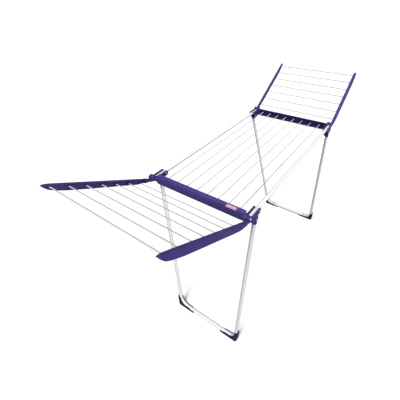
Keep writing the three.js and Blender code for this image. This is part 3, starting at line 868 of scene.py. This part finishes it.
PURPLE_SLOT, SHOE_SLOT = (purple, "purple_plastic"), (dark_purple, "dark_purple_plastic")
TUBE_SLOT, LINE_SLOT = (tube_white, "white_tube"), (line_white, "line_coating")
PIN_SLOT = (steel, "pin_steel")

for side, sign in (("left", 1), ("right", -1)):
    piece(
        f"{side}_rail_tube", deck_rail(sign * RAIL_Y), Matrix.Identity(4), "deck", *TUBE_SLOT,
        [f"{side}_deck_rail"],
    )
piece(
    "near_bar_blank_label", label(), END_PLACE["near"] @ DECK_PLACE, "deck", label_film,
    "purple_plastic", [],
)
for i, y in enumerate(line_ys):
    low, high = box_mm(f"deck_line_{i + 1}")
    piece(
        f"deck_wire_{i + 1}", chamfered_line(low.x, high.x, "X", (y, DECK_HEIGHT)),
        Matrix.Identity(4), "deck", *LINE_SLOT, [f"deck_line_{i + 1}"],
    )

# What trims a knuckle where the bracket's web stops it, and a shoe flat where it stands.
web_low = DECK_HEIGHT - LEG_HINGE_DROP - STOP_DEPTH - GAP
to_leg = LEG_PLACE.inverted()
web_tool = block(0, LEG_STOP_X + GAP, 0, 2 * RAIL_Y, web_low, DECK_HEIGHT)
web_tool.transform(to_leg)
floor_tool = block(-LEG_DROP, LEG_DROP, -LEG_Y, LEG_Y, -LEG_DROP, 0)
floor_tool.transform(to_leg)

# Each corner's pieces: name, mesh for the left side, place at its end, body, finish, rounding of edges.
bar_mesh = end_bar()
tube_mesh = leg_tube()
both_sides = [
    ("bracket", bracket(), DECK_PLACE, "deck", PURPLE_SLOT, 0.8),
    ("rail_rivet", headed_pin(RIVET_RADIUS, RIVET_HEAD, CHEEK_TIP, 0, True), DECK_PLACE, "deck",
     PIN_SLOT, 0),
    ("wing_pin", headed_pin(PIN_RADIUS, PIN_HEAD, -WING_PIVOT_OUT, WING_PIVOT_UP, False),
     DECK_PLACE, "deck", PIN_SLOT, 0),
    ("leg_pin", headed_pin(PIN_RADIUS, PIN_HEAD, LEG_HINGE_IN, -LEG_HINGE_DROP, True), DECK_PLACE,
     "deck", PIN_SLOT, 0),
    ("wing_arm", wing_arm(), WING_PLACE, "wing", PURPLE_SLOT, 1.0),
    ("leg_knuckle", leg_knuckle(web_tool), LEG_PLACE, "legs", PURPLE_SLOT, 0.7),
    ("foot_shoe", foot_shoe(floor_tool), LEG_PLACE, "legs", SHOE_SLOT, 0.9),
]
for end, place in END_PLACE.items():
    piece(
        f"{end}_bar_moulding", bar_mesh, place @ DECK_PLACE, "deck", *PURPLE_SLOT,
        [f"{end}_end_bar"], 0.8,
    )
    piece(
        f"{end}_leg_tube", tube_mesh, place @ LEG_PLACE, f"{end}_legs", *TUBE_SLOT,
        [f"{end}_leg_frame"],
    )
    for i in range(WING_LINES):
        low, high = box_mm(f"{end}_wing_line_{i + 1}")
        centre = (low + high) / 2
        piece(
            f"{end}_wing_wire_{i + 1}",
            chamfered_line(low.y, high.y, "Y", (centre.x, centre.z)),
            Matrix.Identity(4), f"{end}_wing", *LINE_SLOT, [f"{end}_wing_line_{i + 1}"],
        )
    # The far end is the near end turned round, so its left and right change places.
    for mirrored, reflection in ((False, Matrix.Identity(4)), (True, MIRROR)):
        hand = "right" if mirrored == (end == "near") else "left"
        for name, mesh, local, body, (material, slot), edge in both_sides:
            node = f"{end}_{hand}_{name}"
            owner = body if body == "deck" else f"{end}_{body}"
            piece(
                f"{node}_look", mesh, place @ local @ reflection, owner, material, slot, [node],
                edge,
            )

# ---- Floor, light and camera -------------------------------------------------------------------------

FLOOR_SIZE = 160.0  # in metres, so that its edge is never near the object
FLOOR_BOUNCE = (0.17, 0.17, 0.18)  # what the floor throws back on the object
floor_mesh = bpy.data.meshes.new("studio_floor")
half = FLOOR_SIZE / 2
floor_corners = [(-half, -half, 0), (half, -half, 0), (half, half, 0), (-half, half, 0)]
floor_mesh.from_pydata(floor_corners, [], [(0, 1, 2, 3)])
studio_floor = bpy.data.objects.new("studio_floor", floor_mesh)
bpy.context.scene.collection.objects.link(studio_floor)
floor_finish = Finish("studio_floor")
patches = floor_finish.noise(0.6, 2)
pale = floor_finish.ramp(patches, [(0.3, (0.96, 0.96, 0.96)), (0.7, (0.98, 0.98, 0.98))])
floor_path = floor_finish.nodes.new("ShaderNodeLightPath").outputs["Is Camera Ray"]
floor_tone = floor_finish.mixed((*FLOOR_BOUNCE, 1), pale, floor_path)
floor_mesh.materials.append(floor_finish.set(Base_Color=floor_tone, Roughness=0.9))
studio_floor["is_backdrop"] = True

# The studio: a soft high light, a low one from the right, and a dim surround, white to the camera.
world = bpy.data.worlds.new("studio")
bpy.context.scene.world = world
world.use_nodes = True
w_nodes, w_links = world.node_tree.nodes, world.node_tree.links
direction = w_nodes.new("ShaderNodeTexCoord")
facing = w_nodes.new("ShaderNodeVectorMath")
facing.operation = "DOT_PRODUCT"
facing.inputs[1].default_value = Vector((-0.3, -0.35, 0.85)).normalized()
lift = w_nodes.new("ShaderNodeMapRange")
lift.inputs["From Min"].default_value = -1
sky = w_nodes.new("ShaderNodeValToRGB")
for position, grey in ((0.25, 0.03), (0.5, 0.07), (0.75, 0.28)):
    sky.color_ramp.elements.new(position).color = (grey, grey, grey * 1.02, 1)
sky.color_ramp.elements[0].color = (0.02, 0.02, 0.02, 1)
sky.color_ramp.elements[4].color = (0.8, 0.8, 0.8, 1)
path = w_nodes.new("ShaderNodeLightPath")
seen = w_nodes.new("ShaderNodeMix")
seen.data_type = "RGBA"
seen.inputs[7].default_value = (1, 1, 1, 1)
w_links.new(direction.outputs["Generated"], facing.inputs[0])
w_links.new(facing.outputs["Value"], lift.inputs["Value"])
w_links.new(lift.outputs["Result"], sky.inputs["Fac"])
w_links.new(path.outputs["Is Camera Ray"], seen.inputs[0])
w_links.new(sky.outputs["Color"], seen.inputs[6])
w_links.new(seen.outputs[2], w_nodes["Background"].inputs["Color"])


def sun(name, towards, strength, angle):
    """A soft far light that shines along the given direction."""
    data = bpy.data.lights.new(name, "SUN")
    data.energy, data.angle = strength, math.radians(angle)
    light = bpy.data.objects.new(name, data)
    light.rotation_mode = "QUATERNION"
    light.rotation_quaternion = Vector(towards).to_track_quat("-Z", "Y")
    bpy.context.scene.collection.objects.link(light)


sun("key", (0.38, 0.08, -1), 2.9, 20)
sun("side", (0.15, 1, -0.05), 2.1, 10)

YAW = math.radians(32.967)
PITCH = math.radians(37.805)
ROLL = math.radians(-1.612)
EYE = (-1.096, -0.68, 1.682)
FOCAL = 0.66625  # as a share of the picture's width
SHIFT = (-0.125, -0.0375)  # how far the picture's middle is from where the camera looks
SENSOR = 36
along = Vector((
    math.cos(YAW) * math.cos(PITCH), math.sin(YAW) * math.cos(PITCH), -math.sin(PITCH)
))
level = Vector((math.sin(YAW), -math.cos(YAW), 0))
upright = level.cross(along)
right = level * math.cos(ROLL) + upright * math.sin(ROLL)
up = upright * math.cos(ROLL) - level * math.sin(ROLL)
camera_data = bpy.data.cameras.new("camera")
camera_data.sensor_width = SENSOR
camera_data.lens = SENSOR * FOCAL
camera_data.shift_x, camera_data.shift_y = SHIFT
camera_data.clip_end = 2 * FLOOR_SIZE
camera = bpy.data.objects.new("camera", camera_data)
camera.matrix_world = Matrix.Translation(EYE) @ Matrix(
    (right, up, -along)
).transposed().to_4x4()
bpy.context.scene.collection.objects.link(camera)
bpy.context.scene.camera = camera
bpy.context.scene.view_settings.view_transform = "Standard"

low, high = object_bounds()
